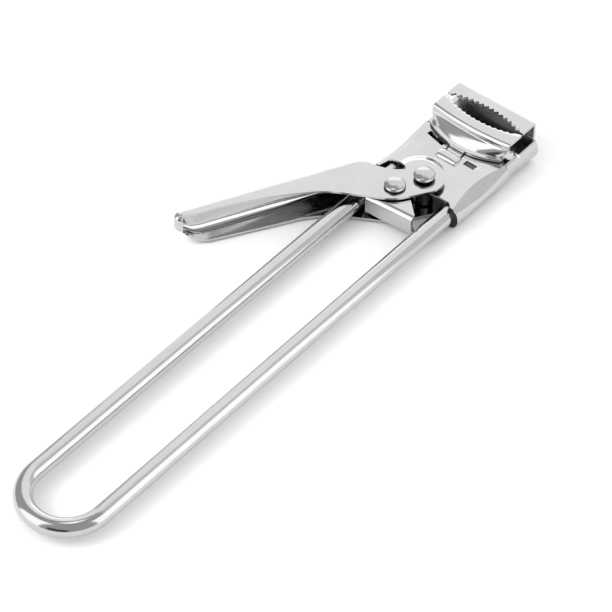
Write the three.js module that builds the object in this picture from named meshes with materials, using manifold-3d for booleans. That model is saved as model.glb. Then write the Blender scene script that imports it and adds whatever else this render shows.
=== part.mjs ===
// Adjustable lid opener in bent stainless sheet and rod, in millimetres, +Z up.
// A long U of round rod carries a fixed toothed jaw on its two ends. A carriage with a second
// toothed jaw slides along the rod, and a channel lever with a biting pawl jacks it forwards.
// The object lies flat: +X runs along the rod from the loop to the jaws, and the origin is on
// the lever's pivot axis, at the plane that the pivot rivet's tail rests on.
import * as THREE from "three";
import { mergeVertices } from "three/addons/utils/BufferGeometryUtils.js";
import Module from "manifold-3d";

const wasm = await Module();
wasm.setup();

// ---------------------------------------------------------------- driving dimensions

const SHEET = 1.0; // thickness of every bent sheet
const GAP = 0.3; // clearance between pieces that touch or slide
const TAIL = 0.8; // how far a rivet's flat tail stands below the lever

// The rod, measured from the centre of its loop
const ROD_RADIUS = 3.0;
const ROD_SPACING = 26.0; // between the centres of the two legs
const ROD_END = 200.5; // where both legs stop, inside the fixed jaw
const LEG = ROD_SPACING / 2;
const RACK = { start: 50, end: 184, pitch: 1.6, depth: 0.45 };

// Levels above the rod's centre plane
const PLATE_UNDER = ROD_RADIUS + GAP;
const PLATE_TOP = PLATE_UNDER + SHEET;
const LEVER_TOP = 6.4;
const LEVER_UNDER = -LEVER_TOP + 2.1; // lower flange's outer face, just under the rod
const JAW_TOP = 10.5;

// Places along and across the rod
const PIVOT = { x: 162.8, y: -1.2 };
const PIVOT_SHANK = 2.0;
const PAWL_PIVOT = { x: 153.9, y: 3.5 };
const PAWL_SHANK = 1.8;
const CARRIAGE = { back: 159.5, front: 185.2, bore: 3.6, sleeve: 4.6, sweep: 225 };
const FIXED = { start: 185.8, step: 192.0, end: 202.0, slim: 4.05, full: 4.35, sweep: 262 };
const MOVABLE = { edge: 191.1, bend: 187.0, foot: 180.9, teeth: 13, span: 26 };
const JAW_HALF = 15.2; // half the width of either jaw

const ROD_Z = TAIL - LEVER_UNDER; // rod's centre plane above the resting plane
const CLEAR = 20; // height past everything, for cuts that go right through

// ---------------------------------------------------------------- materials

function steel(color, roughness) {
  return new THREE.MeshStandardMaterial({ color, roughness, metalness: 1.0 });
}

const MATERIALS = {
  rod: steel(0xd3d4d6, 0.14),
  sheet: steel(0xdadbdd, 0.1),
  jaw: steel(0xdcdddf, 0.12),
  rivet: steel(0xc9cacc, 0.22),
};

// ---------------------------------------------------------------- solid helpers

// A three.js geometry as a manifold solid.
function solid(geometry) {
  const plain = geometry.clone();
  plain.deleteAttribute("normal");
  plain.deleteAttribute("uv");
  const merged = mergeVertices(plain, 1e-4);
  return new wasm.Manifold(
    new wasm.Mesh({
      numProp: 3,
      vertProperties: new Float32Array(merged.attributes.position.array),
      triVerts: new Uint32Array(merged.index.array),
    }),
  );
}

// A manifold solid as a named three.js mesh.
function part(name, body, material) {
  const data = body.getMesh();
  const geometry = new THREE.BufferGeometry();
  geometry.setAttribute("position", new THREE.BufferAttribute(data.vertProperties, 3));
  geometry.setIndex(new THREE.BufferAttribute(data.triVerts, 1));
  const flat = geometry.toNonIndexed();
  flat.computeVertexNormals();
  const mesh = new THREE.Mesh(flat, material);
  mesh.name = name;
  return mesh;
}

function union(...bodies) {
  return bodies.reduce((sum, body) => sum.add(body));
}

// An outline in plan, raised from level low to level high.
function slab(shape, low, high, curveSegments = 12) {
  const geometry = new THREE.ExtrudeGeometry(shape, {
    depth: high - low,
    bevelEnabled: false,
    curveSegments,
  });
  geometry.translate(0, 0, low);
  return solid(geometry);
}

// The same with its upper and lower rims rounded, as a sheet bends.
function softSlab(shape, low, high, radius, curveSegments = 8) {
  const geometry = new THREE.ExtrudeGeometry(shape, {
    depth: high - low - 2 * radius,
    bevelEnabled: true,
    bevelThickness: radius,
    bevelSize: radius,
    bevelOffset: -radius,
    bevelSegments: 4,
    curveSegments,
  });
  geometry.translate(0, 0, low + radius);
  return solid(geometry);
}

// A profile drawn across the rod, as (y, z), run along X.
function run(profile, start, end, curveSegments = 14) {
  const geometry = new THREE.ExtrudeGeometry(profile, {
    depth: end - start,
    bevelEnabled: false,
    curveSegments,
  });
  // drawn (x, y) become (y, z), and the depth becomes x
  geometry.applyMatrix4(
    new THREE.Matrix4().makeBasis(
      new THREE.Vector3(0, 1, 0),
      new THREE.Vector3(0, 0, 1),
      new THREE.Vector3(1, 0, 0),
    ),
  );
  geometry.translate(start, 0, 0);
  return solid(geometry);
}

function box(x0, x1, y0, y1, z0, z1) {
  const geometry = new THREE.BoxGeometry(x1 - x0, y1 - y0, z1 - z0);
  geometry.translate((x0 + x1) / 2, (y0 + y1) / 2, (z0 + z1) / 2);
  return solid(geometry);
}

function drum(x, y, radius, low, high, topRadius = radius, sides = 36) {
  const geometry = new THREE.CylinderGeometry(topRadius, radius, high - low, sides);
  geometry.rotateX(Math.PI / 2);
  geometry.translate(x, y, (low + high) / 2);
  return solid(geometry);
}

// A shank's hole with clearance, right through everything at that place.
function eye(place, shank) {
  const radius = shank + GAP;
  return drum(place.x, place.y, radius, -CLEAR, CLEAR, radius, 24);
}

function polygon(points) {
  return new THREE.Shape(points.map(([x, y]) => new THREE.Vector2(x, y)));
}

// A closed body through equal rings of points, capped at both ends.
function loft(rings) {
  const count = rings[0].length;
  const position = rings.flat().flatMap((p) => [p.x, p.y, p.z]);
  const index = [];
  for (let r = 0; r + 1 < rings.length; r++)
    for (let i = 0; i < count; i++) {
      const a = r * count + i;
      const b = r * count + ((i + 1) % count);
      index.push(a, b, a + count, b, b + count, a + count);
    }
  const cap = (ring, first, flip) => {
    const outline = ring.map((p) => new THREE.Vector2(p.x, p.z));
    for (const [a, b, c] of THREE.ShapeUtils.triangulateShape(outline, []))
      index.push(first + a, first + (flip ? c : b), first + (flip ? b : c));
  };
  cap(rings[0], 0, false);
  cap(rings.at(-1), (rings.length - 1) * count, true);
  const geometry = new THREE.BufferGeometry();
  geometry.setAttribute("position", new THREE.Float32BufferAttribute(position, 3));
  geometry.setIndex(index);
  return solid(geometry);
}

// ---------------------------------------------------------------- handle rod

const LOOP_STEPS = 20;

// The U: left leg, half circle, right leg. Only the half circle is divided.
class RodPath extends THREE.Curve {
  getUtoTmapping(u) {
    return u;
  }

  getPoint(t, target = new THREE.Vector3()) {
    const station = t * (LOOP_STEPS + 2);
    if (station <= 1) return target.set(ROD_END * (1 - station), LEG, 0);
    if (station >= LOOP_STEPS + 1) return target.set(ROD_END * (station - LOOP_STEPS - 1), -LEG, 0);
    const angle = Math.PI / 2 + (Math.PI * (station - 1)) / LOOP_STEPS;
    return target.set(LEG * Math.cos(angle), LEG * Math.sin(angle), 0);
  }
}

function handleRod() {
  const section = new THREE.Shape();
  section.absarc(0, 0, ROD_RADIUS, 0, 2 * Math.PI);
  const bent = solid(
    new THREE.ExtrudeGeometry(section, {
      extrudePath: new RodPath(),
      steps: LOOP_STEPS + 2,
      curveSegments: 14,
    }),
  );
  // rack of fine saw teeth pressed into the inner face of the right leg
  const inner = -LEG + ROD_RADIUS;
  const teeth = [[RACK.start, inner + 1]];
  for (let x = RACK.start; x < RACK.end; x += RACK.pitch) {
    teeth.push([x, inner - RACK.depth]);
    teeth.push([x + RACK.pitch * 0.8, inner + 0.02]);
  }
  teeth.push([RACK.end, inner + 0.02], [RACK.end, inner + 1]);
  return bent.subtract(slab(polygon(teeth.reverse()), -1.6, 1.6));
}

// ---------------------------------------------------------------- sleeves round the legs

// Section of a plate whose two sides curl round the legs: flat between the legs at the given
// levels, then round each leg's outside and under it to the given angle in degrees.
function curledPlate(innerRadius, outerRadius, under, top, degrees) {
  const sweep = THREE.MathUtils.degToRad(degrees);
  const topAngle = Math.asin(Math.min(1, top / outerRadius));
  const underAngle = Math.asin(Math.min(1, under / innerRadius));
  const shape = new THREE.Shape();
  shape.absarc(LEG, 0, outerRadius, topAngle, Math.PI / 2 - sweep, true);
  shape.absarc(LEG, 0, innerRadius, Math.PI / 2 - sweep, underAngle, false);
  shape.absarc(-LEG, 0, innerRadius, Math.PI - underAngle, Math.PI / 2 + sweep, false);
  shape.absarc(-LEG, 0, outerRadius, Math.PI / 2 + sweep, Math.PI - topAngle, true);
  shape.closePath();
  return shape;
}

// ---------------------------------------------------------------- fixed jaw

const FIXED_TEETH = 14;

// Plan edge of the fixed jaw: an arc bowed towards the back, cut into sharp teeth.
function fixedEdge(y) {
  return 198.5 - 2.4 * (y / 14) ** 2;
}

function fixedJaw() {
  const curl = (radius) =>
    curledPlate(ROD_RADIUS + GAP, radius, PLATE_UNDER, PLATE_TOP, FIXED.sweep);
  const overlap = 0.1;
  const slim = run(curl(FIXED.slim), FIXED.start, FIXED.step + overlap);
  const full = run(curl(FIXED.full), FIXED.step, FIXED.end - SHEET / 2);

  // wall and folded top, drawn as (x, z) and run across the rod
  const bend = 1.4;
  const fold = new THREE.Shape();
  fold.moveTo(FIXED.end, PLATE_UNDER);
  fold.lineTo(FIXED.end, JAW_TOP - bend);
  fold.absarc(FIXED.end - bend, JAW_TOP - bend, bend, 0, Math.PI / 2, false);
  fold.lineTo(FIXED.step, JAW_TOP);
  fold.lineTo(FIXED.step, JAW_TOP - SHEET);
  fold.absarc(FIXED.end - bend, JAW_TOP - bend, bend - SHEET, Math.PI / 2, 0, true);
  fold.lineTo(FIXED.end - SHEET, PLATE_UNDER);
  fold.closePath();
  const geometry = new THREE.ExtrudeGeometry(fold, {
    depth: 2 * JAW_HALF,
    bevelEnabled: false,
    curveSegments: 5,
  });
  geometry.rotateX(Math.PI / 2);
  geometry.translate(0, JAW_HALF, 0);

  // everything in front of the toothed edge is cut away
  const depth = 1.4;
  const cheek = 195.2; // the plain corners beside the teeth
  const span = 27.6;
  const pitch = span / FIXED_TEETH;
  const behind = FIXED.step - 1;
  const beside = JAW_HALF + 1;
  const cut = [
    [behind, -beside],
    [cheek, -beside],
    [cheek, -span / 2],
  ];
  for (let i = 0; i < FIXED_TEETH; i++) {
    const y = -span / 2 + i * pitch;
    cut.push([fixedEdge(y + pitch / 2), y + pitch / 2]);
    if (i < FIXED_TEETH - 1) cut.push([fixedEdge(y + pitch) - depth, y + pitch]);
  }
  cut.push([cheek, span / 2], [cheek, beside], [behind, beside]);
  const front = slab(polygon(cut), JAW_TOP - SHEET - 1, JAW_TOP + 1);
  return union(slim, full, solid(geometry).subtract(front));
}

// ---------------------------------------------------------------- carriage

function carriage() {
  const { back, front, bore, sleeve, sweep } = CARRIAGE;
  let body = run(curledPlate(bore, sleeve, PLATE_UNDER, PLATE_TOP, sweep), back, front);

  // raised round boss under the lever's eye, between the two legs
  const raised = { x: PIVOT.x + 2.0, y: PIVOT.y + 3.2, foot: 8.0, top: 6.8, rise: 0.7, wall: 0.8 };
  const bite = 0.05;
  const cone = (inset, level) => {
    const foot = raised.foot - inset;
    const top = raised.top - inset;
    return drum(raised.x, raised.y, foot, level - bite, level + raised.rise, top, 48);
  };
  const boss = cone(0, PLATE_TOP);
  const hollow = cone(raised.wall, PLATE_UNDER);
  const flat = LEG - ROD_RADIUS - 0.4;
  const keep = box(back, front, -flat, flat, 0, CLEAR);
  body = body.add(boss.intersect(keep)).subtract(hollow.intersect(keep));

  // bridge that holds the jaw's tongue, with the opening under it
  const bridge = { back: 175.2, front: 178.4, half: 3.3 };
  const mouth = { back: 175.5, front: 182.6, top: PLATE_TOP + 0.01 };
  body = body.subtract(box(mouth.back, mouth.front, -bridge.half, bridge.half, 0, mouth.top));
  const arch = new THREE.Shape();
  arch.moveTo(-bridge.half - 1.2, PLATE_UNDER + 0.1);
  arch.lineTo(-bridge.half - 1.2, PLATE_TOP);
  arch.lineTo(-bridge.half + 0.2, PLATE_TOP + 1.0);
  arch.lineTo(bridge.half - 0.2, PLATE_TOP + 1.0);
  arch.lineTo(bridge.half + 1.2, PLATE_TOP);
  arch.lineTo(bridge.half + 1.2, PLATE_UNDER + 0.1);
  arch.lineTo(bridge.half, PLATE_UNDER + 0.1);
  arch.lineTo(bridge.half - 0.5, PLATE_TOP + 0.1);
  arch.lineTo(-bridge.half + 0.5, PLATE_TOP + 0.1);
  arch.lineTo(-bridge.half, PLATE_UNDER + 0.1);
  body = body.add(run(arch, bridge.back, bridge.front));

  // window right of the bridge, and the slot left of the jaw's foot
  body = body.subtract(box(177.2, 179.4, -9.5, -5.3, 0, CLEAR));
  const slot = polygon([
    [179.6, 5.2],
    [181.0, 4.6],
    [182.9, 12.0],
    [181.2, 12.4],
  ]);
  body = body.subtract(slab(slot, 0, CLEAR));

  // back edge: room for the pawl, and a notch beside the left leg
  const behind = back - 5;
  const pocket = polygon([
    [behind, -8.6],
    [160.6, -8.6],
    [159.7, -3.0],
    [159.7, 3.0],
    [161.5, 5.6],
    [164.1, 7.4],
    [165.2, 10.0],
    [164.7, LEG],
    [behind, LEG],
  ]);
  body = body.subtract(slab(pocket, PLATE_UNDER - 1.5, CLEAR));
  const rightEdge = box(behind, back + 1.3, -LEG - 0.8, -8.5, PLATE_UNDER - 0.2, CLEAR);
  body = body.subtract(rightEdge);
  return body.subtract(eye(PIVOT, PIVOT_SHANK));
}

// ---------------------------------------------------------------- movable jaw

// Section of the movable jaw at a distance y from its middle, as a centre line of (x, z).
function movableSection(y) {
  const bow = (y / 15) ** 2;
  const edge = MOVABLE.edge + 2.9 * bow;
  const bend = MOVABLE.bend + 1.25 * bow;
  const foot = MOVABLE.foot + 4.0 * bow;
  const mid = JAW_TOP - SHEET / 2;
  const low = PLATE_TOP + GAP + SHEET / 2;
  const waist = bend - 1.5;
  return [
    [edge, mid],
    [bend + 1.2, mid],
    [bend + 0.35, mid - 0.35],
    [bend - 0.35, mid - 1.1],
    [bend - 1.0, mid - 2.2],
    [waist, mid - 3.2],
    [waist - 0.35 * (waist - foot), low + 0.75],
    [waist - 0.68 * (waist - foot), low + 0.15],
    [foot, low],
  ].map(([x, z]) => new THREE.Vector2(x, z));
}

// Ring of points half a sheet either side of a centre line.
function thicken(line, y) {
  const side = (sign) =>
    line.map((p, i) => {
      const before = line[Math.max(0, i - 1)];
      const after = line[Math.min(line.length - 1, i + 1)];
      const along = after.clone().sub(before).normalize();
      const z = p.y + (sign * along.x * SHEET) / 2;
      const narrow = 1 - 0.07 * THREE.MathUtils.smoothstep(JAW_TOP - z, 2, 5);
      return new THREE.Vector3(p.x - (sign * along.y * SHEET) / 2, y * narrow, z);
    });
  return [...side(1), ...side(-1).reverse()];
}

function movableJaw() {
  const rings = [];
  const stations = 16;
  for (let i = 0; i <= stations; i++) {
    const y = JAW_HALF * ((2 * i) / stations - 1);
    rings.push(thicken(movableSection(y), y));
  }
  let body = loft(rings);
  const tongue = 2.7;
  const under = PLATE_UNDER + 0.05;
  const top = PLATE_TOP - 0.3;
  const root = 182.2;
  body = union(
    body,
    box(175.8, root, -tongue, tongue, under, top),
    box(root - SHEET, root, -tongue, tongue, under, PLATE_TOP + GAP + 0.4),
  );
  // scalloped teeth along the gripping edge
  const scallop = 1.05;
  for (let i = 0; i < MOVABLE.teeth; i++) {
    const y = ((i + 0.5) / MOVABLE.teeth - 0.5) * MOVABLE.span;
    const x = movableSection(y)[0].x + scallop / 2;
    body = body.subtract(drum(x, y, scallop, JAW_TOP - 2, JAW_TOP + 1, scallop, 12));
  }
  return body;
}

// ---------------------------------------------------------------- lever

// Plan outline of a lever flange. Along the grip the lower flange is wider by the given amount,
// and its tip stops short of the upper one's.
function leverFlange(wider, tip) {
  const shape = new THREE.Shape();
  shape.moveTo(tip, 52.5);
  shape.lineTo(152.5, 22.4);
  shape.quadraticCurveTo(155.8, 20.4, 156.9, 17.0);
  shape.quadraticCurveTo(158.0, 8.6, 162.6, 5.5);
  shape.absarc(PIVOT.x, PIVOT.y + 0.1, 6.6, Math.PI / 2, -2.06, true);
  shape.lineTo(151.4, -1.5);
  shape.quadraticCurveTo(148.6, 0.8, 146.3, 5.0);
  shape.lineTo(141.0, 14.6 - 0.2 * wider);
  shape.quadraticCurveTo(138.0, 20.0 - 0.5 * wider, 131.5, 25.2 - 0.7 * wider);
  shape.lineTo(tip + 8.0, 40.4 - 0.8 * wider);
  shape.quadraticCurveTo(tip + 2.0, 43.9 - wider, tip + 1.0, 44.9 - 0.4 * wider);
  shape.lineTo(tip, 45.6);
  shape.closePath();
  return shape;
}

// Outline that the lever's web follows: straight along the outer edge, then round the tip.
// Its other sides lie clear of the flanges, so the channel stays open there.
function leverBody(inset) {
  const angle = Math.atan2(47.6 - 21.0, 104.6 - 155.9); // from the eye to the tip
  const along = new THREE.Vector2(Math.cos(angle), Math.sin(angle));
  const out = new THREE.Vector2(along.y, -along.x);
  const nose = new THREE.Vector2(101.4, 46.8);
  const radius = 2.2 - inset;
  const far = 90;
  const at = (side, back) => nose.clone().addScaledVector(out, side).addScaledVector(along, -back);
  const first = at(radius, far);
  const shape = new THREE.Shape();
  shape.moveTo(first.x, first.y);
  shape.lineTo(at(radius, 0).x, at(radius, 0).y);
  shape.absarc(nose.x, nose.y, radius, out.angle(), out.angle() + Math.PI, false);
  shape.lineTo(at(-far, 0).x, at(-far, 0).y);
  shape.lineTo(at(-far, far).x, at(-far, far).y);
  shape.closePath();
  return shape;
}

function lever() {
  const outer = softSlab(leverBody(0), LEVER_UNDER, LEVER_TOP, 1.8);
  const inner = softSlab(leverBody(SHEET), LEVER_UNDER + SHEET, LEVER_TOP - SHEET, 0.9);
  const middle = 1.0;
  const plan = union(
    slab(leverFlange(0, 96.0), middle, LEVER_TOP + 1),
    slab(leverFlange(2.4, 102.8), LEVER_UNDER - 1, middle),
  );
  const eyes = union(eye(PIVOT, PIVOT_SHANK), eye(PAWL_PIVOT, PAWL_SHANK));
  return outer.subtract(inner).intersect(plan).subtract(eyes);
}

// ---------------------------------------------------------------- pawl

const PAWL = { low: LEVER_UNDER + SHEET + GAP, high: LEVER_TOP - SHEET - GAP };

function pawlPlan() {
  const shape = new THREE.Shape();
  shape.moveTo(140, 8.8);
  shape.lineTo(140, -8.9);
  shape.lineTo(146.9, -8.9);
  shape.lineTo(154.0, -2.6);
  shape.lineTo(157.4, 1.2);
  shape.absarc(PAWL_PIVOT.x, PAWL_PIVOT.y, 4.3, -0.58, 1.7, false);
  shape.lineTo(148.0, 8.8);
  shape.closePath();
  return shape;
}

// Everything behind the pawl's web, whose outer face leans a little along the lever.
function pawlBody(inset) {
  return polygon([
    [145.2 + inset, 14],
    [147.1 + inset, -14],
    [175, -14],
    [175, 14],
  ].reverse());
}

function pawl() {
  const outer = softSlab(pawlBody(0), PAWL.low, PAWL.high, 1.5);
  const inner = softSlab(pawlBody(SHEET), PAWL.low + SHEET, PAWL.high - SHEET, 0.6);
  const plan = slab(pawlPlan(), PAWL.low - 1, PAWL.high + 1);
  return outer.subtract(inner).intersect(plan).subtract(eye(PAWL_PIVOT, PAWL_SHANK));
}

// ---------------------------------------------------------------- rivets and bush

// Domed head above the lever, plain shank, flat tail below the lever.
function rivet(place, shank, proud) {
  const head = 3.5;
  const seat = LEVER_TOP + proud;
  const tailTop = LEVER_UNDER - 0.02;
  const profile = [
    [0, LEVER_UNDER - TAIL],
    [head * 0.8, LEVER_UNDER - TAIL],
    [head * 0.86, LEVER_UNDER - TAIL + 0.2],
    [head * 0.86, tailTop],
    [shank, tailTop],
    [shank, seat],
    [head - 0.25, seat],
    [head, seat + 0.3],
    [head, seat + 0.6],
    [head * 0.86, seat + 1.15],
    [head * 0.55, seat + 1.5],
    [head * 0.25, seat + 1.62],
    [0, seat + 1.65],
  ];
  const geometry = new THREE.LatheGeometry(
    profile.map(([r, z]) => new THREE.Vector2(r, z)),
    32,
  );
  geometry.rotateX(Math.PI / 2);
  geometry.translate(place.x, place.y, 0);
  return solid(geometry);
}

function pivotBush() {
  const low = LEVER_UNDER + SHEET + GAP;
  const high = PLATE_UNDER - GAP;
  return drum(PIVOT.x, PIVOT.y, PIVOT_SHANK + 1.1, low, high).subtract(eye(PIVOT, PIVOT_SHANK));
}

// ---------------------------------------------------------------- assembly

const opener = new THREE.Group();
opener.position.set(-PIVOT.x, -PIVOT.y, ROD_Z);

const handleGroup = new THREE.Group();
handleGroup.add(part("handle_rod", handleRod(), MATERIALS.rod));
handleGroup.add(part("fixed_jaw", fixedJaw(), MATERIALS.jaw));

const carriageGroup = new THREE.Group();
carriageGroup.add(part("carriage", carriage(), MATERIALS.sheet));
carriageGroup.add(part("movable_jaw", movableJaw(), MATERIALS.jaw));
carriageGroup.add(part("pivot_bush", pivotBush(), MATERIALS.rivet));
carriageGroup.add(part("pivot_rivet", rivet(PIVOT, PIVOT_SHANK, 0.9), MATERIALS.rivet));

const leverGroup = new THREE.Group();
leverGroup.add(part("lever", lever(), MATERIALS.sheet));
leverGroup.add(part("pawl_rivet", rivet(PAWL_PIVOT, PAWL_SHANK, 0.3), MATERIALS.rivet));

const pawlGroup = new THREE.Group();
pawlGroup.add(part("pawl", pawl(), MATERIALS.sheet));

leverGroup.add(pawlGroup);
carriageGroup.add(leverGroup);
handleGroup.add(carriageGroup);
opener.add(handleGroup);

export default opener;
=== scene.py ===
import math

import bmesh
import bpy
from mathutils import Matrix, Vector
from mathutils.geometry import delaunay_2d_cdt


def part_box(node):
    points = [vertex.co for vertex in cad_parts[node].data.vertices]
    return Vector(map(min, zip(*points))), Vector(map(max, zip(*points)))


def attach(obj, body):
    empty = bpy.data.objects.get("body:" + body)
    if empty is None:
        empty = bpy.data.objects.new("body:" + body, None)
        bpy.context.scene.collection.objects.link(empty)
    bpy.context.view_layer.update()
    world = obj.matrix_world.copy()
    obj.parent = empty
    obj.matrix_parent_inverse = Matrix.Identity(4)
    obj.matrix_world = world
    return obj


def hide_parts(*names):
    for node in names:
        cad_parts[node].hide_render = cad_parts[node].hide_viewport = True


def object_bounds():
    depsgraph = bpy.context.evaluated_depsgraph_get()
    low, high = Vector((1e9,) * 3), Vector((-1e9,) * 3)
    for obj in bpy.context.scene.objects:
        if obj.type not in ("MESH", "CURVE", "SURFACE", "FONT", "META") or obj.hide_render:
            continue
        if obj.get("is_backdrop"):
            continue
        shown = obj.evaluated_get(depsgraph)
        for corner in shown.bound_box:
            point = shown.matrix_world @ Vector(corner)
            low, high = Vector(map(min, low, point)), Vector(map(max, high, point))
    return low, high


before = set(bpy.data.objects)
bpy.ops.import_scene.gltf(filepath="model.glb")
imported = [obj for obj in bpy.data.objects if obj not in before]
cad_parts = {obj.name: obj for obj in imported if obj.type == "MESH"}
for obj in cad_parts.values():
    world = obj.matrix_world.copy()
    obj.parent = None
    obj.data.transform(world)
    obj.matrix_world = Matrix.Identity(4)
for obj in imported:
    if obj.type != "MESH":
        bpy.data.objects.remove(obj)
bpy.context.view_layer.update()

# An adjustable lid opener in polished stainless steel: a U of round rod with a toothed jaw on its
# ends, and a carriage with a second jaw that a channel lever and a pawl clamp along it.

MM = 0.001

# ---------------------------------------------------------------- dimensions, in millimetres
# Lengths are measured from the centre of the rod's loop: x along the rod towards the jaws,
# y across it, z above the plane of the rod's centre line.

rod_low, rod_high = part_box("handle_rod")
ROD_RADIUS = (rod_high.z - rod_low.z) / 2 / MM
LEG = (rod_high.y - rod_low.y) / 2 / MM - ROD_RADIUS
ORIGIN = Vector((
    rod_low.x + (LEG + ROD_RADIUS) * MM,
    (rod_low.y + rod_high.y) / 2,
    (rod_low.z + rod_high.z) / 2,
))


def local_box(node):
    """A node's two corners in the units above."""
    low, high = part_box(node)
    return (low - ORIGIN) / MM, (high - ORIGIN) / MM


def centre_of(node):
    low, high = local_box(node)
    return Vector(((low.x + high.x) / 2, (low.y + high.y) / 2))


ROD_END = local_box("handle_rod")[1].x
lever_low, lever_high = local_box("lever")
fixed_low, fixed_high = local_box("fixed_jaw")
carriage_low, carriage_high = local_box("carriage")
movable_low, movable_high = local_box("movable_jaw")
pawl_low, pawl_high = local_box("pawl")
PIVOT = centre_of("pivot_rivet")
PAWL_PIVOT = centre_of("pawl_rivet")

SHEET = 1.0  # thickness of the CAD's sheets
HALF = SHEET / 2
JAW_TOP = fixed_high.z
PLATE_TOP = carriage_high.z - SHEET  # the bridge stands one sheet above the plate
THIN = 0.7  # thickness of the carriage's sheet as it looks
PLATE_MID = PLATE_TOP - THIN / 2
SLEEVE_MID = carriage_high.y - LEG - THIN / 2
EDGE = 0.16  # rounding of a cut edge
PLAY = 0.3  # clearance round a rivet's shank
PIVOT_SHANK, PAWL_SHANK = 2.0, 1.8  # radii of the two shanks
BRIDGE = 3.3  # half the width between the bridge's two feet


# ---------------------------------------------------------------- plane geometry helpers


def arc(centre, radius, start, end, steps):
    """Points along an arc, with angles in degrees."""
    points = []
    for i in range(steps + 1):
        a = math.radians(start + (end - start) * i / steps)
        points.append((centre[0] + radius * math.cos(a), centre[1] + radius * math.sin(a)))
    return points


def eye(place, shank):
    """A shank's hole, with clearance."""
    return arc(place, shank + PLAY, 0, 345, 23)


def between(start, control, end, t):
    """A point on a quadratic curve, at a share t of its way."""
    return tuple(
        (1 - t) ** 2 * s + 2 * t * (1 - t) * c + t * t * e
        for s, c, e in zip(start, control, end)
    )


def curve(start, control, end, steps=8):
    """Points along a quadratic curve, without its first point."""
    return [between(start, control, end, i / steps) for i in range(1, steps + 1)]


def smooth(t):
    """Eases from 0 to 1 while t goes from 0 to 1."""
    t = min(max(t, 0.0), 1.0)
    return t * t * (3 - 2 * t)


def spaced(start, end, count):
    """Even values from start to end, both included."""
    return [start + (end - start) * i / (count - 1) for i in range(count)]


def spline(points, steps):
    """A smooth line through all the points."""
    dense = []
    for i in range(len(points) - 1):
        a = Vector(points[max(i - 1, 0)])
        b = Vector(points[i])
        c = Vector(points[i + 1])
        d = Vector(points[min(i + 2, len(points) - 1)])
        for k in range(steps):
            t = k / steps
            dense.append(
                0.5 * (2 * b + (c - a) * t + (2 * a - 5 * b + 4 * c - d) * t ** 2
                       + (3 * b - a - 3 * c + d) * t ** 3)
            )
    dense.append(Vector(points[-1]))
    return dense


def crosses(p, loop):
    """How many sides of a loop a ray from p meets."""
    count = 0
    for (x0, y0), (x1, y1) in zip(loop, loop[1:] + loop[:1]):
        if (y0 > p[1]) != (y1 > p[1]) and p[0] < x0 + (p[1] - y0) * (x1 - x0) / (y1 - y0):
            count += 1
    return count


def triangulate(outline, holes=(), lines=()):
    """Points and triangles of a flat outline with holes. Each line stays as edges."""
    points, edges = [], []
    for loop in [outline, *holes]:
        first = len(points)
        points += [Vector(p) for p in loop]
        edges += [(first + i, first + (i + 1) % len(loop)) for i in range(len(loop))]
    for line in lines:
        first = len(points)
        points += [Vector(p) for p in line]
        edges += [(first + i, first + i + 1) for i in range(len(line) - 1)]
    made, _, faces, *_ = delaunay_2d_cdt(points, edges, [], 0, 1e-5)
    loops = [list(map(tuple, loop)) for loop in [outline, *holes]]
    kept = []
    for face in faces:
        middle = sum((made[i] for i in face), Vector((0, 0))) / len(face)
        if sum(crosses(middle, loop) for loop in loops) % 2:
            kept.append(face)
    return made, kept


# ---------------------------------------------------------------- mesh helpers


def add_flat(bm, outline, place, holes=(), lines=()):
    """A cut outline laid on the surface that place describes."""
    points, faces = triangulate(outline, holes, lines)
    used = {i for face in faces for i in face}
    verts = {i: bm.verts.new(place(points[i].x, points[i].y)) for i in used}
    for face in faces:
        bm.faces.new([verts[i] for i in face])


def add_grid(bm, rows):
    """A surface through equal rows of points. A None in a row leaves a gap."""
    verts = [[p if p is None else bm.verts.new(p) for p in row] for row in rows]
    for low, high in zip(verts, verts[1:]):
        for i in range(len(low) - 1):
            corners = (low[i], low[i + 1], high[i + 1], high[i])
            if None not in corners:
                bm.faces.new(corners)


def finish_piece(name, bm, body, node, material):
    """Turns the mesh into an object in the frame, in place of its CAD node."""
    bmesh.ops.remove_doubles(bm, verts=bm.verts, dist=1e-4)
    bmesh.ops.dissolve_degenerate(bm, edges=bm.edges, dist=1e-5)
    bmesh.ops.recalc_face_normals(bm, faces=bm.faces)
    for v in bm.verts:
        v.co = ORIGIN + v.co * MM
    mesh = bpy.data.meshes.new(name)
    bm.to_mesh(mesh)
    bm.free()
    mesh.materials.append(material)
    piece = bpy.data.objects.new(name, mesh)
    bpy.context.scene.collection.objects.link(piece)
    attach(piece, body)
    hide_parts(node)
    return piece


def shade(piece, angle):
    """Smooth shading, except over edges sharper than the angle."""
    piece.data.polygons.foreach_set("use_smooth", [True] * len(piece.data.polygons))
    piece.data.set_sharp_from_angle(angle=math.radians(angle))


def apply_modifiers(piece):
    """Bakes a piece's modifiers into its mesh."""
    bpy.context.view_layer.update()
    graph = bpy.context.evaluated_depsgraph_get()
    made = bpy.data.meshes.new_from_object(piece.evaluated_get(graph))
    piece.modifiers.clear()
    piece.data = made
    made.polygons.foreach_set("use_smooth", [True] * len(made.polygons))


def soften(piece, width=EDGE, angle=40, segments=2):
    """Rounds the sharp edges and keeps the flats flat."""
    bevel = piece.modifiers.new("rounded_edges", "BEVEL")
    bevel.width = width * MM
    bevel.segments = segments
    bevel.limit_method = "ANGLE"
    bevel.angle_limit = math.radians(angle)
    bevel.miter_outer = "MITER_ARC"
    bevel.use_clamp_overlap = True
    piece.data.polygons.foreach_set("use_smooth", [True] * len(piece.data.polygons))
    normals = piece.modifiers.new("even_shading", "WEIGHTED_NORMAL")
    normals.mode = "FACE_AREA"
    normals.weight = 60
    normals.keep_sharp = True
    apply_modifiers(piece)


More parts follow.
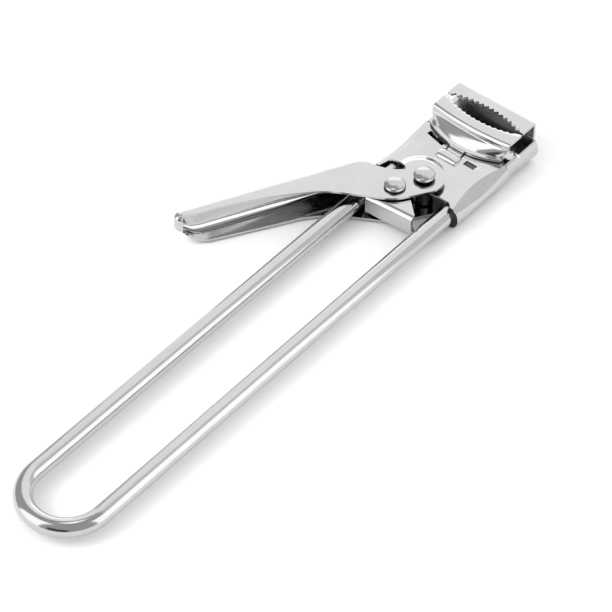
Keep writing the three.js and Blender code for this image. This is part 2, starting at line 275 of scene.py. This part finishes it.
def thicken(piece, thickness=SHEET):
    """Gives a middle surface its sheet thickness."""
    solid = piece.modifiers.new("sheet", "SOLIDIFY")
    solid.thickness = thickness * MM
    solid.offset = 0
    solid.use_even_offset = True
    solid.use_quality_normals = True
    apply_modifiers(piece)


def paint_shade(piece, material, inside):
    """Paints shade on part of a piece with a darker second material: inside(centre, normal) picks
    the faces.
    """
    piece.data.materials.append(material)
    for face in piece.data.polygons:
        if inside((face.center - ORIGIN) / MM, face.normal):
            face.material_index = 1


def revolve(bm, centre, profile, sides):
    """A turned body: the profile runs from the axis round to the axis again, as (radius, z)."""
    rings = []
    for radius, z in profile:
        if radius == 0:
            rings.append([bm.verts.new((centre.x, centre.y, z))])
            continue
        ring = []
        for k in range(sides):
            a = 2 * math.pi * k / sides
            ring.append(bm.verts.new(
                (centre.x + radius * math.cos(a), centre.y + radius * math.sin(a), z)
            ))
        rings.append(ring)
    for low, high in zip(rings, rings[1:]):
        for k in range(sides):
            n = (k + 1) % sides
            if len(low) == 1:
                bm.faces.new((low[0], high[k], high[n]))
            elif len(high) == 1:
                bm.faces.new((low[k], low[n], high[0]))
            else:
                bm.faces.new((low[k], low[n], high[n], high[k]))


# ---------------------------------------------------------------- steel


def steel(name, colour, roughness, hairline, grain):
    """Polished stainless steel: faint hairlines along one way, soft waves from rolling, and
    smudges that change the gloss and the tone a little."""
    material = bpy.data.materials.new(name)
    material.use_nodes = True
    tree = material.node_tree
    nodes, link = tree.nodes, tree.links.new
    shader = nodes["Principled BSDF"]
    shader.inputs["Metallic"].default_value = 1.0
    place = nodes.new("ShaderNodeTexCoord")

    def noise(scale, detail, stretch=(1, 1, 1)):
        mapping = nodes.new("ShaderNodeMapping")
        mapping.inputs["Scale"].default_value = stretch
        link(place.outputs["Object"], mapping.inputs["Vector"])
        texture = nodes.new("ShaderNodeTexNoise")
        texture.inputs["Scale"].default_value = scale
        texture.inputs["Detail"].default_value = detail
        link(mapping.outputs["Vector"], texture.inputs["Vector"])
        return texture.outputs["Fac"]

    def spread(source, low, high, start=0.3, end=0.7):
        remap = nodes.new("ShaderNodeMapRange")
        remap.inputs["From Min"].default_value = start
        remap.inputs["From Max"].default_value = end
        remap.inputs["To Min"].default_value = low
        remap.inputs["To Max"].default_value = high
        link(source, remap.inputs["Value"])
        return remap.outputs["Result"]

    smudges = noise(90, 3)
    hairlines = noise(grain, 2, hairline)
    waves = noise(160, 1)

    tone = nodes.new("ShaderNodeMix")
    tone.data_type = "RGBA"
    tone.inputs["A"].default_value = (*[c * 0.94 for c in colour], 1)
    tone.inputs["B"].default_value = (*colour, 1)
    link(spread(smudges, 0, 1), tone.inputs["Factor"])
    marked = nodes.new("ShaderNodeMix")
    marked.data_type = "RGBA"
    marked.blend_type = "MULTIPLY"
    marked.inputs["B"].default_value = (0.96, 0.96, 0.965, 1)
    link(spread(hairlines, 0, 1, 0.52, 0.75), marked.inputs["Factor"])
    link(tone.outputs["Result"], marked.inputs["A"])
    # painted shade: ambient occlusion darkens the steel's colour in narrow gaps and corners, where
    # shade falls
    gaps = nodes.new("ShaderNodeAmbientOcclusion")
    gaps.samples = 8
    gaps.inputs["Distance"].default_value = 1.8 * MM
    painted_gap_shade = nodes.new("ShaderNodeMix")
    painted_gap_shade.data_type = "RGBA"
    painted_gap_shade.inputs["A"].default_value = (0.05, 0.05, 0.05, 1)
    link(spread(gaps.outputs["AO"], 0, 1, 0.12, 0.62), painted_gap_shade.inputs["Factor"])
    link(marked.outputs["Result"], painted_gap_shade.inputs["B"])
    link(painted_gap_shade.outputs["Result"], shader.inputs["Base Color"])

    gloss = nodes.new("ShaderNodeMath")
    gloss.operation = "ADD"
    link(spread(smudges, roughness * 0.8, roughness * 1.25), gloss.inputs[0])
    link(spread(hairlines, 0.0, 0.05, 0.45, 0.8), gloss.inputs[1])
    link(gloss.outputs["Value"], shader.inputs["Roughness"])

    fine = nodes.new("ShaderNodeBump")
    fine.inputs["Strength"].default_value = 0.08
    fine.inputs["Distance"].default_value = 0.00002
    link(hairlines, fine.inputs["Height"])
    broad = nodes.new("ShaderNodeBump")
    broad.inputs["Strength"].default_value = 0.25
    broad.inputs["Distance"].default_value = 0.00004
    link(waves, broad.inputs["Height"])
    link(fine.outputs["Normal"], broad.inputs["Normal"])
    link(broad.outputs["Normal"], shader.inputs["Normal"])
    return material


ROD_STEEL = steel("rod_steel", (0.555, 0.555, 0.56), 0.12, (0.04, 1, 1), 2400)
SHEET_STEEL = steel("sheet_steel", (0.575, 0.575, 0.58), 0.09, (1, 0.05, 1), 2600)
JAW_STEEL = steel("jaw_steel", (0.575, 0.575, 0.58), 0.08, (1, 0.05, 1), 2800)
RIVET_STEEL = steel("rivet_steel", (0.51, 0.51, 0.515), 0.18, (1, 1, 0.3), 1500)
# painted shade: near-black steel put where the insides of the sleeves and the bush lie in shade
PAINTED_SHADE_BLACK = steel("painted_shade_black", (0.06, 0.06, 0.061), 0.3, (1, 1, 0.3), 1500)
# painted shade: darker steel for the insides and undersides of the jaws, where shade falls
PAINTED_SHADE_GREY = steel("painted_shade_grey", (0.27, 0.27, 0.272), 0.2, (1, 0.05, 1), 2200)


# ---------------------------------------------------------------- handle rod


def handle_rod():
    rack = {"start": 50.0, "end": 184.0, "pitch": 1.6, "depth": 0.45}
    ramp, land, crest_depth = 0.78, 0.1, 0.03  # a tooth's share of its pitch, and its crest
    sides, bends = 64, 48
    tip = 0.6
    # every station is (centre, inward way, depth cut off on the inner side, radius)
    stations = [
        (Vector((ROD_END, LEG)), Vector((0, -1)), 0.0, ROD_RADIUS - tip),
        (Vector((ROD_END - tip, LEG)), Vector((0, -1)), 0.0, ROD_RADIUS),
        (Vector((ROD_END / 2, LEG)), Vector((0, -1)), 0.0, ROD_RADIUS),
    ]
    for i in range(bends + 1):
        a = math.radians(90 + 180 * i / bends)
        out = Vector((math.cos(a), math.sin(a)))
        stations.append((out * LEG, -out, 0.0, ROD_RADIUS))
    inward = Vector((0, 1))
    teeth = int((rack["end"] - rack["start"]) / rack["pitch"])
    stations.append((Vector((rack["start"] - 0.2, -LEG)), inward, 0.0, ROD_RADIUS))
    for k in range(teeth):
        x = rack["start"] + k * rack["pitch"]
        stations.append((Vector((x, -LEG)), inward, rack["depth"], ROD_RADIUS))
        crest = x + ramp * rack["pitch"]
        stations.append((Vector((crest, -LEG)), inward, crest_depth, ROD_RADIUS))
        stations.append((Vector((crest + land, -LEG)), inward, crest_depth, ROD_RADIUS))
    end = rack["start"] + teeth * rack["pitch"]
    stations.append((Vector((end, -LEG)), inward, 0.0, ROD_RADIUS))
    stations.append((Vector((ROD_END - tip, -LEG)), inward, 0.0, ROD_RADIUS))
    stations.append((Vector((ROD_END, -LEG)), inward, 0.0, ROD_RADIUS - tip))

    bm = bmesh.new()
    rings = []
    for centre, side, depth, radius in stations:
        ring = []
        for k in range(sides):
            a = 2 * math.pi * k / sides
            reach = min(radius * math.cos(a), ROD_RADIUS - depth)
            p = centre + side * reach
            ring.append(bm.verts.new((p.x, p.y, radius * math.sin(a))))
        rings.append(ring)
    for low, high in zip(rings, rings[1:]):
        for k in range(sides):
            n = (k + 1) % sides
            bm.faces.new((low[k], low[n], high[n], high[k]))
    bm.faces.new(rings[0])
    bm.faces.new(rings[-1])
    piece = finish_piece("rod_handle", bm, "handle", "handle_rod", ROD_STEEL)
    shade(piece, 20)
    return piece


# ---------------------------------------------------------------- sleeves round the legs

CREASE, SIDE = 0.1, 0.4  # shares of a sleeve's sheet at its crease and at its side


def sleeve(share, crease, plate, radius, sweep):
    """Middle line of a sheet that lies flat over a leg, turns at a crease, and rolls round
    under the leg. Gives (distance outwards from the leg's centre, z) at a share of its way."""
    if share <= CREASE:
        return crease * share / CREASE, plate
    if share <= SIDE:
        t = (share - CREASE) / (SIDE - CREASE)
        shoulder = (min(crease + 2.9, radius - 0.1), plate - 1.35)
        return between((crease, plate), shoulder, (radius, 0.0), t)
    a = math.radians(-(sweep - 90) * (share - SIDE) / (1 - SIDE))
    return radius * math.cos(a), radius * math.sin(a)


def sleeve_shares():
    """The shares at which a sleeve's rows stand."""
    return [0, CREASE / 2] + spaced(CREASE, SIDE, 10) + spaced(SIDE, 1, 24)[1:]


# ---------------------------------------------------------------- fixed jaw


def fixed_jaw():
    thick = 0.9
    half = 15.2
    top = JAW_TOP - thick / 2
    plate = PLATE_TOP - HALF
    front = fixed_high.x - thick / 2
    bend = 0.55
    teeth = 14
    span = 27.6
    cheek = 195.2
    depth = 1.1
    back = fixed_low.x + 0.1
    seam, step = 192.0, 0.3
    slim, full = (2.5, 3.62), (2.9, 3.9)  # a sleeve's crease and radius, each side of the seam
    sweep = 262

    def root(y):
        """The roots of the teeth lie on a shallow bow."""
        return 198.5 - 2.4 * (y / 14) ** 2

    # the toothed edge, at half-pitch stations
    edge = [(-half, cheek), (-span / 2, cheek)]
    for k in range(1, 2 * teeth):
        y = -span / 2 + k * span / teeth / 2
        edge.append((y, root(y) if k % 2 else root(y) - depth))
    edge += [(span / 2, cheek), (half, cheek)]

    columns = []
    for (y0, x0), (y1, x1) in zip(edge, edge[1:]):
        columns.append((y0, x0))
        for cut in (-LEG, LEG):  # the plate's flat ends over the legs
            if y0 < cut < y1:
                columns.append((cut, x0 + (x1 - x0) * (cut - y0) / (y1 - y0)))
    columns.append(edge[-1])

    behind_teeth = 199.3
    profile = [(behind_teeth, top)]
    profile += arc((front - bend, top - bend), bend, 90, 0, 6)
    profile += arc((front - bend, plate + bend), bend, 0, -90, 6)
    in_plate = len(profile) - 3  # rows from here on lie between the legs only
    stations = [front - bend, seam + step, seam, seam - step, back]
    profile += [(x, plate) for x in stations[1:]]

    rows = [[Vector((x, y, top)) for y, x in columns]]
    for k, (x, z) in enumerate(profile):
        rows.append([
            None if k >= in_plate and abs(y) > LEG + 1e-6 else Vector((x, y, z))
            for y, _ in columns
        ])
    bm = bmesh.new()
    add_grid(bm, rows)

    # sleeves, a little narrower behind the seam where the carriage's front slides up to them
    for side in (-1, 1):
        rows = []
        for share in sleeve_shares():
            row = []
            for x in stations:
                wide = smooth((x - seam) / step + 0.5)
                crease, radius = (a + (b - a) * wide for a, b in zip(slim, full))
                out, z = sleeve(share, crease, plate, radius, sweep)
                row.append(Vector((x, side * (LEG + out), z)))
            rows.append(row)
        add_grid(bm, rows)
    piece = finish_piece("jaw_fixed", bm, "handle", "fixed_jaw", JAW_STEEL)
    thicken(piece, thick)
    soften(piece, 0.09, 24)
    # painted shade: the inside of the fixed jaw under its folded top gets darker steel
    paint_shade(piece, PAINTED_SHADE_GREY, lambda c, n: (
        abs(c.y) < half - 0.2 and seam + 1 < c.x < fixed_high.x - 0.3
        and PLATE_TOP - 0.1 < c.z < JAW_TOP - 0.6
    ))
    return piece


# ---------------------------------------------------------------- carriage


def carriage():
    back, front = carriage_low.x, carriage_high.x
    reach = 20.0  # width that each sleeve takes on the unfolded sheet
    boss = {"x": PIVOT.x + 2.0, "y": PIVOT.y + 3.2, "foot": 8.8, "top": 5.8, "rise": 0.85}
    dish = {"x": 180.2, "y": -8.0, "length": 2.2, "width": 5.2, "depth": 0.12, "rim": 1.25}
    sweep = 225

    def crease(x):
        """The side's crease bows in between the sleeve's two ends."""
        return min(0.5 + 1.4 * ((x - 171.5) / 10.0) ** 2, 2.7)

    def relief(x, y):
        """Height of the plate's pressed features above its flat."""
        away = math.hypot(x - boss["x"], y - boss["y"])
        keep = smooth((11.4 - abs(y)) / 1.6)  # flat again before the legs
        rise = boss["rise"] * smooth((boss["foot"] - away) / (boss["foot"] - boss["top"]))
        near = math.hypot((x - dish["x"]) / dish["length"], (y - dish["y"]) / dish["width"])
        return rise * keep - dish["depth"] * smooth(dish["rim"] - near)

    def place(x, v):
        """Unfolded sheet to space: v is across the sheet, true to size between the legs."""
        if abs(v) <= LEG:
            return Vector((x, v, PLATE_MID + relief(x, v)))
        out, z = sleeve((abs(v) - LEG) / reach, crease(x), PLATE_MID, SLEEVE_MID, sweep)
        return Vector((x, math.copysign(LEG + out, v), z))

    edge = LEG + reach
    over_leg = LEG + reach * CREASE / 2
    right_back = back + 1.3
    outline = [(back, -edge), (back, -over_leg), (right_back, -LEG), (right_back, -8.6)]
    outline += [(159.7, -3.0), (159.7, 3.0), (161.5, 5.6), (164.1, 7.4), (165.2, 10.0)]
    outline += [(164.7, LEG), (163.8, over_leg), (159.8, over_leg + 0.4)]
    outline += [(back, edge - 5), (back + 3, edge), (front, edge), (front, -edge)]
    tongue_gap = [(176.3, -BRIDGE), (182.6, -BRIDGE), (182.6, BRIDGE), (176.3, BRIDGE)]
    window = [(177.2, -9.5), (179.4, -9.5), (179.4, -5.3), (177.2, -5.3)]
    slot = [(179.6, 5.2), (181.0, 4.6), (182.9, 12.0), (181.2, 12.4)]
    reliefs = [
        [(x, side * (BRIDGE + y)) for x, y in ((174.7, 0), (175.7, 0), (175.7, 1), (175, 1.2))]
        for side in (-1, 1)
    ]
    holes = [tongue_gap, window, slot, eye(PIVOT, PIVOT_SHANK), *reliefs]

    # the sheet's bends and pressed features need edges of their own
    lines = []
    margin = 0.01
    ends = spaced(back + margin, front - margin, 14)
    for share in sleeve_shares():
        for side in (-1, 1):
            lines.append([(x, side * (LEG + reach * share)) for x in ends])
    for k in range(11):
        radius = boss["top"] - 0.3 + k * (boss["foot"] - boss["top"] + 0.6) / 10
        lines.append(arc((boss["x"], boss["y"]), radius, 0, 360, 72))
    for k in range(1, 7):
        lines.append([
            (dish["x"] + dish["length"] * x, dish["y"] + dish["width"] * y)
            for x, y in arc((0, 0), dish["rim"] * k / 6, 0, 360, 40)
        ])
    bm = bmesh.new()
    add_flat(bm, outline, place, holes, lines)
    piece = finish_piece(
        "carriage_plate", bm, "carriage", "carriage", SHEET_STEEL
    )
    thicken(piece, THIN)
    soften(piece, 0.1, 22)

    def in_sleeve(c, n):
        """The inner faces of the two sleeves, and the cut ends beside them."""
        out = Vector((0, abs(c.y) - LEG, c.z))
        away = math.copysign(1, c.y) * n.y * out.y + n.z * out.z
        return out.y > 0.6 and (away < 0 or n.x < -0.5) and out.length < carriage_high.y - LEG - 0.1

    # painted shade: the sleeves' inner faces and the cut ends beside them get near-black steel
    paint_shade(piece, PAINTED_SHADE_BLACK, in_sleeve)
    return piece


def bridge():
    """The lanced strap over the jaw's tongue, rising from the plate at both ends, with its
    two long edges turned down."""
    back, front = 175.0, 178.6
    high = PLATE_MID + SHEET
    foot = [
        (BRIDGE + 1.2, PLATE_MID - 0.1), (BRIDGE + 0.6, PLATE_MID + 0.1),
        (BRIDGE + 0.1, high - 0.3), (BRIDGE - 0.5, high),
    ]
    path = spline([(-y, z) for y, z in foot] + foot[::-1], 5)
    turn = [(back, 0.75), (back + 0.2, 0.5), (back + 0.45, 0.22), (back + 0.8, 0.04)]
    turn += [(back + 1.1, 0), (front - 0.8, 0), (front - 0.4, 0.12), (front, 0.4)]
    raised = [max(p.y - PLATE_MID, 0) / SHEET for p in path]
    rows = []
    for x, drop in turn:
        rows.append([Vector((x, p.x, p.y - drop * up)) for p, up in zip(path, raised)])
    bm = bmesh.new()
    add_grid(bm, rows)
    piece = finish_piece("carriage_bridge", bm, "carriage", "carriage", SHEET_STEEL)
    thicken(piece, THIN)
    soften(piece, 0.12)
    return piece


# ---------------------------------------------------------------- movable jaw


def movable_jaw():
    half = (movable_high.y - movable_low.y) / 2
    teeth, pitch, bite, set_back = 13, 2.0, 1.05, 0.55
    mid = JAW_TOP - HALF
    low = PLATE_TOP + 0.3 + HALF

    def arch(y):
        """0 in the jaw's middle, about 1 at its ends."""
        return (y / 15) ** 2

    def edge(y):
        return 191.1 + 3.3 * arch(y)

    def scallop(y):
        """The front edge with round bites in it."""
        near = ((y / pitch + 0.5 * (teeth % 2)) % 1 - 0.5) * pitch
        if abs(y) > teeth * pitch / 2 or abs(near) > math.sqrt(bite ** 2 - set_back ** 2):
            return edge(y)
        return edge(y) + set_back - math.sqrt(bite ** 2 - near ** 2)

    def section(y):
        """The web below the flat, as a smooth line of (x, z)."""
        bend = 187.0 + 1.25 * arch(y)
        foot = 180.9 + 4.0 * arch(y)
        waist = bend - 0.35
        ankle = min(foot + 1.9, waist - 0.5)
        return [
            (bend + 0.9, mid), (bend + 0.45, mid - 0.1), (bend + 0.1, mid - 0.45),
            (bend - 0.1, mid - 1.0), (waist, mid - 1.9),
            (waist - 0.3 * (waist - ankle), mid - 2.6),
            (waist - 0.72 * (waist - ankle), low + 1.2),
            (ankle, low + 0.25), (ankle - 0.4, low + 0.03), (foot, low),
        ]

    def narrow(y, z):
        """The web narrows a little towards its foot."""
        return y * (1 - 0.07 * smooth((JAW_TOP - z - 2) / 3))

    columns = []
    for y in spaced(-half, half, 153):
        web = section(y)
        start = web[0][0]
        inner = min(edge(y) - 0.9, start + (edge(y) - start) * 0.7)
        line = [Vector((x, mid)) for x in (scallop(y), inner, start + 0.25)]
        line += spline(web, 6)
        columns.append([Vector((p.x, narrow(y, p.y), p.y)) for p in line])
    bm = bmesh.new()
    add_grid(bm, columns)

    # tongue under the bridge, joined to the foot by a short step
    tongue = 2.7
    step = [
        (182.0, low), (181.4, low - 0.1), (181.1, PLATE_MID + 0.5),
        (180.6, PLATE_MID), (175.8, PLATE_MID),
    ]
    path = spline(step, 4)
    add_grid(bm, [[Vector((p.x, y, p.y)) for p in path] for y in (-tongue, tongue)])
    piece = finish_piece("jaw_movable", bm, "carriage", "movable_jaw", JAW_STEEL)
    thicken(piece)
    soften(piece, 0.1)
    # painted shade: the movable jaw's undersides and inward faces get darker steel
    paint_shade(piece, PAINTED_SHADE_GREY, lambda c, n: c.z > PLATE_TOP + 0.5 and (n.z < -0.3 or n.x > 0.5))
    return piece


# ---------------------------------------------------------------- lever

LEVER_SHEET = 0.75
LEVER_MID_TOP = lever_high.z - LEVER_SHEET / 2
LEVER_MID_LOW = lever_low.z + LEVER_SHEET / 2


def web_rows(path, top, low_at):
    """Rows across a channel's back. path lists (point, inward way, upper roll, lower roll)."""
    rows = []
    for p, inward, upper, lower in path:
        row = []
        for a in spaced(0, 90, 9):
            a = math.radians(a)
            q = p + inward * upper * (1 - math.sin(a))
            row.append(Vector((q.x, q.y, top - upper * (1 - math.cos(a)))))
        foot = p + inward * lower
        low = low_at(foot.x, foot.y)
        for a in spaced(90, 180, 13):
            a = math.radians(a)
            q = p + inward * lower * (1 - math.sin(a))
            row.append(Vector((q.x, q.y, low + lower * (1 + math.cos(a)))))
        rows.append(row)
    return rows


def lever():
    heel, toe = Vector((155.9, 21.0)), Vector((104.6, 47.6))
    along = (toe - heel).normalized()
    inward = Vector((-along.y, along.x))
    nose = Vector((101.4, 46.8))
    nose_radius = 2.2 - LEVER_SHEET / 2
    length = 60.6
    start = nose - along * length - inward * nose_radius
    tight, wide = 1.3, 3.3
    upper = 1.6
    bow, bow_rise = 8.5, 3.6

    def low_at(x, y):
        """The lower flange rises towards the nose like a boat's bow."""
        ahead = (Vector((x, y)) - nose).dot(along) / bow + 1
        return LEVER_MID_LOW + bow_rise * min(max(ahead, 0.0), 1.2) ** 2.6

    path = []
    for t in spaced(0, 1, 19)[:-1]:
        lower = tight + (wide - tight) * smooth((t - 0.15) / 0.35) * smooth((1.12 - t) / 0.3)
        path.append((start + along * length * t, inward, upper, lower))
    for k in range(25):
        turn = math.radians(180 * k / 24)
        way = inward * math.cos(turn) - along * math.sin(turn)
        path.append((nose - way * nose_radius, way, upper, upper))
    bm = bmesh.new()
    rows = web_rows(path, LEVER_MID_TOP, low_at)
    add_grid(bm, rows)

    eyes = [eye(PIVOT, PIVOT_SHANK), eye(PAWL_PIVOT, PAWL_SHANK)]

    def free_edge(wider, grip, end):
        """The flange's free edge, from its grip part on towards and round the eye."""
        line = grip + [(131.5, 25.2 - 0.7 * wider)]
        line += curve(line[-1], (138.0, 20.0 - 0.5 * wider), (141.0, 14.6 - 0.2 * wider))
        line += [(146.3, 5.0)]
        line += curve((146.3, 5.0), (148.6, 0.8), (151.4, -1.5))
        line += arc((PIVOT.x, PIVOT.y + 0.1), 6.6, -118, 90, 40)
        line += curve(line[-1], (158.0, 8.6), (156.9, 17.0))
        line += curve(line[-1], (156.5, 18.4), end, 5)[:-1]
        return line

    top_line = [(row[0].x, row[0].y) for row in rows]
    top_grip = [(104.3, 43.4), (111.8, 39.4), (119.0, 34.8), (125.5, 30.2)]
    top_edge = free_edge(0, top_grip, top_line[0])
    inset = [Vector(p) - inward * 0.6 for p in top_grip]
    add_flat(bm, top_line + top_edge, lambda x, y: Vector((x, y, LEVER_MID_TOP)), eyes, [inset])

    low_line = [(row[-1].x, row[-1].y) for row in rows]
    low_grip = curve(low_line[-1], (101.2, 42.6), (106.6, 38.7), 6)
    low_edge = free_edge(2.4, low_grip, low_line[0])
    ribs = [
        [nose - along * back - inward * 8, nose - along * back + inward * 14]
        for back in spaced(-1.0, bow, 16)
    ]
    add_flat(bm, low_line + low_edge, lambda x, y: Vector((x, y, low_at(x, y))), eyes, ribs)
    piece = finish_piece("lever_channel", bm, "lever", "lever", SHEET_STEEL)
    thicken(piece, LEVER_SHEET)
    soften(piece, 0.14)
    return piece


# ---------------------------------------------------------------- pawl


def pawl():
    roll = 1.5
    top, low = pawl_high.z - HALF, pawl_low.z + HALF
    back, tip = Vector((145.9, 8.6)), Vector((147.3, -8.7))
    along = (tip - back).normalized()
    inward = Vector((-along.y, along.x))
    path = [(back + (tip - back) * t, inward, roll, roll) for t in (0, 0.5, 1)]
    bm = bmesh.new()
    rows = web_rows(path, top, lambda x, y: low)
    add_grid(bm, rows)
    holes = [eye(PAWL_PIVOT, PAWL_SHANK)]
    for index, level in ((0, top), (-1, low)):
        line = [(row[index].x, row[index].y) for row in rows]
        outline = line + [(154.0, -2.6), (157.4, 1.2)]
        outline += arc(PAWL_PIVOT, 4.3, -33, 97, 18)
        add_flat(bm, outline, lambda x, y, z=level: Vector((x, y, z)), holes)
    piece = finish_piece("pawl_channel", bm, "pawl", "pawl", SHEET_STEEL)
    thicken(piece)
    soften(piece, 0.12)
    return piece


# ---------------------------------------------------------------- rivets and bush


def rivet(name, node, body, shank, centre):
    low, high = local_box(node)
    head = (high.x - low.x) / 2
    rim, crown = 0.6, 1.05
    stem, foot = head * 0.86, head * 0.8
    seat = high.z - rim - crown
    tail = lever_low.z
    dome = [
        (head * math.cos(math.radians(a)), seat + rim + crown * math.sin(math.radians(a)))
        for a in spaced(0, 90, 12)
    ]
    profile = [(0, low.z), (foot, low.z), (stem, low.z + 0.2)]
    profile += [(stem, tail), (shank, tail), (shank, seat)]
    profile += [(head - 0.25, seat), (head - 0.02, seat + 0.25)]
    profile += dome[:-1] + [(0, high.z)]
    bm = bmesh.new()
    revolve(bm, centre, profile, 64)
    # the head is hammered: shallow dents all over it
    for v in bm.verts:
        if v.co.z > seat + rim + 0.1:
            dent = math.sin(v.co.x * 2.3 + 1.1) * math.sin(v.co.y * 2.1 + 0.4)
            v.co.z -= 0.06 * (1 + dent) / 2 + 0.02
    piece = finish_piece(name, bm, body, node, RIVET_STEEL)
    shade(piece, 50)
    return piece


def pivot_bush():
    low, high = local_box("pivot_bush")
    radius = (high.x - low.x) / 2
    bore, chamfer = PIVOT_SHANK + PLAY, 0.3
    bm = bmesh.new()
    ring = [
        (bore, low.z), (radius - chamfer, low.z), (radius, low.z + chamfer),
        (radius, high.z - chamfer), (radius - chamfer, high.z), (bore, high.z), (bore, low.z),
    ]
    revolve(bm, PIVOT, ring, 48)
    # painted shade: the bush is near-black steel, standing in for the shade round it
    piece = finish_piece("bush", bm, "carriage", "pivot_bush", PAINTED_SHADE_BLACK)
    shade(piece, 30)
    return piece


# ---------------------------------------------------------------- studio


def point(x, y, z):
    return ORIGIN + Vector((x, y, z)) * MM


def camera():
    data = bpy.data.cameras.new("camera")
    data.sensor_width = 36
    data.lens = 181.47
    made = bpy.data.objects.new("camera", data)
    bpy.context.scene.collection.objects.link(made)
    target = point(103.13, -2.81, -2.97)
    towards = Vector((-497.36, -418.84, 684.99)) * MM
    made.location = target + towards
    made.rotation_euler = (-towards).to_track_quat("-Z", "Y").to_euler()
    bpy.context.scene.camera = made


def rectangle(name, corners, material):
    """A flat object with four corners."""
    mesh = bpy.data.meshes.new(name)
    mesh.from_pydata(corners, [], [(0, 1, 2, 3)])
    mesh.materials.append(material)
    made = bpy.data.objects.new(name, mesh)
    bpy.context.scene.collection.objects.link(made)
    return made


def board(name, level, centre, size):
    """A lit or dark board round the object that only the steel sees, even over its middle and
    fading out at its rim. It stands across the axis in which its size is 0."""
    material = bpy.data.materials.new(name)
    material.use_nodes = True
    nodes, link = material.node_tree.nodes, material.node_tree.links.new
    nodes.clear()
    place = nodes.new("ShaderNodeTexCoord")
    split = nodes.new("ShaderNodeSeparateXYZ")
    link(place.outputs["Generated"], split.inputs["Vector"])

    def inside(axis):
        """1 over most of the board's length along an axis, falling to 0 at both ends."""
        fold = nodes.new("ShaderNodeMath")
        fold.operation = "PINGPONG"
        fold.inputs[1].default_value = 0.5
        link(split.outputs[axis], fold.inputs[0])
        rim = nodes.new("ShaderNodeMapRange")
        rim.interpolation_type = "SMOOTHSTEP"
        rim.inputs["From Max"].default_value = 0.08
        link(fold.outputs["Value"], rim.inputs["Value"])
        return rim.outputs["Result"]

    both = nodes.new("ShaderNodeMath")
    both.operation = "MULTIPLY"
    spans = [axis for axis in range(3) if size[axis]]
    for k, axis in enumerate(spans):
        link(inside("XYZ"[axis]), both.inputs[k])
    glow = nodes.new("ShaderNodeEmission")
    glow.inputs["Strength"].default_value = level
    clear = nodes.new("ShaderNodeBsdfTransparent")
    blend = nodes.new("ShaderNodeMixShader")
    out = nodes.new("ShaderNodeOutputMaterial")
    link(both.outputs["Value"], blend.inputs["Fac"])
    link(clear.outputs["BSDF"], blend.inputs[1])
    link(glow.outputs["Emission"], blend.inputs[2])
    link(blend.outputs["Shader"], out.inputs["Surface"])

    corners = []
    for signs in ((-1, -1), (1, -1), (1, 1), (-1, 1)):
        corner = list(centre)
        for axis, sign in zip(spans, signs):
            corner[axis] += sign * size[axis] / 2
        corners.append(point(*corner))
    made = rectangle(name, corners, material)
    made.visible_camera = False
    made.visible_diffuse = False
    made.visible_shadow = False
    made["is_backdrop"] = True


def area_light(name, centre, towards, size, power):
    data = bpy.data.lights.new(name, "AREA")
    data.shape = "SQUARE"
    data.size = size * MM
    data.energy = power
    lamp = bpy.data.objects.new(name, data)
    lamp.location = point(*centre)
    lamp.rotation_euler = (lamp.location - point(*towards)).to_track_quat("Z", "Y").to_euler()
    lamp.visible_glossy = False
    bpy.context.scene.collection.objects.link(lamp)


def tent(seen, lit, mirrored):
    """The white tent: how bright it looks, how much it lights the floor, and how bright the
    steel sees it where no board stands."""
    world = bpy.data.worlds.new("tent")
    bpy.context.scene.world = world
    world.use_nodes = True
    nodes, link = world.node_tree.nodes, world.node_tree.links.new
    background = nodes["Background"]
    ray = nodes.new("ShaderNodeLightPath")
    last = None
    for rays, level in (("Is Camera Ray", seen), ("Is Glossy Ray", mirrored)):
        pick = nodes.new("ShaderNodeMix")
        pick.inputs["B"].default_value = level
        link(ray.outputs[rays], pick.inputs["Factor"])
        if last is None:
            pick.inputs["A"].default_value = lit
        else:
            link(last.outputs["Result"], pick.inputs["A"])
        last = pick
    link(last.outputs["Result"], background.inputs["Strength"])
    background.inputs["Color"].default_value = (1, 1, 1, 1)


def floor():
    """White paper, lit a little past white."""
    material = bpy.data.materials.new("paper")
    material.use_nodes = True
    shader = material.node_tree.nodes["Principled BSDF"]
    shader.inputs["Roughness"].default_value = 1.0
    shader.inputs["Specular IOR Level"].default_value = 0.0
    shader.inputs["Base Color"].default_value = (0.93, 0.93, 0.93, 1)
    reach = 3.0  # metres
    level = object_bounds()[0].z
    corners = [(-reach, -reach), (reach, -reach), (reach, reach), (-reach, reach)]
    made = rectangle("floor", [(x, y, level) for x, y in corners], material)
    made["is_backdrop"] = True


def studio():
    floor()
    tent(seen=1.0, lit=1.15, mirrored=0.5)
    area_light("key", (-420, 420, 640), (90, 0, 0), 420, 2.5)
    board("back_board", 1.27, (700, 530, 700), (0, 1640, 1700))
    board("back_shade", 0.86, (705, -850, 700), (0, 1500, 1700))
    board("back_light", 1.85, (690, 520, 250), (0, 560, 480))
    board("side_box", 1.8, (125, -175, 100), (250, 0, 270))
    board("window", 1.8, (-450, 390, 650), (0, 660, 1420))
    board("top_lamp", 2.3, (110, 90, 700), (170, 170, 0))
    board("dark_side", 0.1, (-900, -420, 260), (0, 800, 560))
    bpy.context.scene.view_settings.view_transform = "Standard"


camera()
handle_rod()
fixed_jaw()
carriage()
bridge()
movable_jaw()
lever()
pawl()
rivet("rivet_pivot", "pivot_rivet", "carriage", PIVOT_SHANK, PIVOT)
rivet("rivet_pawl", "pawl_rivet", "lever", PAWL_SHANK, PAWL_PIVOT)
pivot_bush()
studio()
